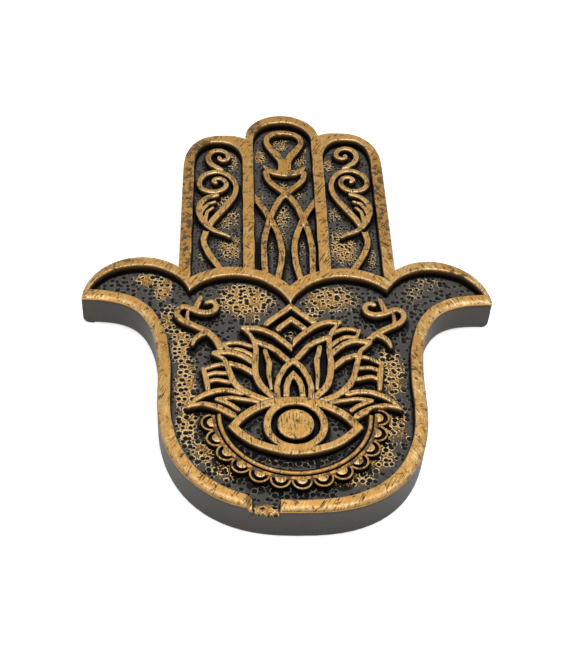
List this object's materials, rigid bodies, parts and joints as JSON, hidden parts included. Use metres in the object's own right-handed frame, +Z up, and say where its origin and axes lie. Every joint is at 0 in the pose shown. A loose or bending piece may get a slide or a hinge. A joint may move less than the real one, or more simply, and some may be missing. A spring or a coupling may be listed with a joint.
{
  "type": "incense holder",
  "caption": "Flat hand-shaped incense tray with a raised rim, scrolled lotus relief, an eye whose round pupil seats a cone, and a notch for a stick.",
  "frame": {"origin": "under the middle of the hand's length and width, on the table", "axes": "+Z up, +Y from the wrist to the middle fingertip, +X to the right seen from above"},
  "size_m": [0.1338, 0.18, 0.012],
  "materials": {
    "rubbed_gold": "bronze gold paint rubbed over the raised resin, satin with fine scratches",
    "charcoal": "matte charcoal paint on stippled resin, dry-brushed with gold in patches"
  },
  "bodies": {
    "root": {"tray_body": "charcoal", "outer_rim": "rubbed_gold", "palm_arch": "rubbed_gold", "left_divider": "rubbed_gold", "right_divider": "rubbed_gold", "middle_keyhole": "rubbed_gold", "middle_crossed_stems": "rubbed_gold", "left_finger_leaf": "rubbed_gold", "left_finger_scroll": "rubbed_gold", "left_finger_hook": "rubbed_gold", "left_finger_stem": "rubbed_gold", "right_finger_leaf": "rubbed_gold", "right_finger_scroll": "rubbed_gold", "right_finger_hook": "rubbed_gold", "right_finger_stem": "rubbed_gold", "outer_chevron": "rubbed_gold", "inner_chevron": "rubbed_gold", "centre_petal": "rubbed_gold", "centre_petal_heart": "rubbed_gold", "left_inner_petal": "rubbed_gold", "left_petal_vein": "rubbed_gold", "left_outer_petal": "rubbed_gold", "left_upper_fin": "rubbed_gold", "left_low_leaf": "rubbed_gold", "left_low_leaf_strands": "rubbed_gold", "left_lower_fin": "rubbed_gold", "left_palm_scroll": "rubbed_gold", "right_inner_petal": "rubbed_gold", "right_petal_vein": "rubbed_gold", "right_outer_petal": "rubbed_gold", "right_upper_fin": "rubbed_gold", "right_low_leaf": "rubbed_gold", "right_low_leaf_strands": "rubbed_gold", "right_lower_fin": "rubbed_gold", "right_palm_scroll": "rubbed_gold", "eye_frame": "rubbed_gold", "pupil_disc": "rubbed_gold", "border_band": "rubbed_gold", "scallop_01": "rubbed_gold", "scallop_02": "rubbed_gold", "scallop_03": "rubbed_gold", "scallop_04": "rubbed_gold", "scallop_05": "rubbed_gold", "scallop_06": "rubbed_gold", "scallop_07": "rubbed_gold", "scallop_08": "rubbed_gold", "scallop_09": "rubbed_gold", "scallop_10": "rubbed_gold", "scallop_11": "rubbed_gold", "scallop_12": "rubbed_gold", "scallop_13": "rubbed_gold"}
  },
  "joints": []
}
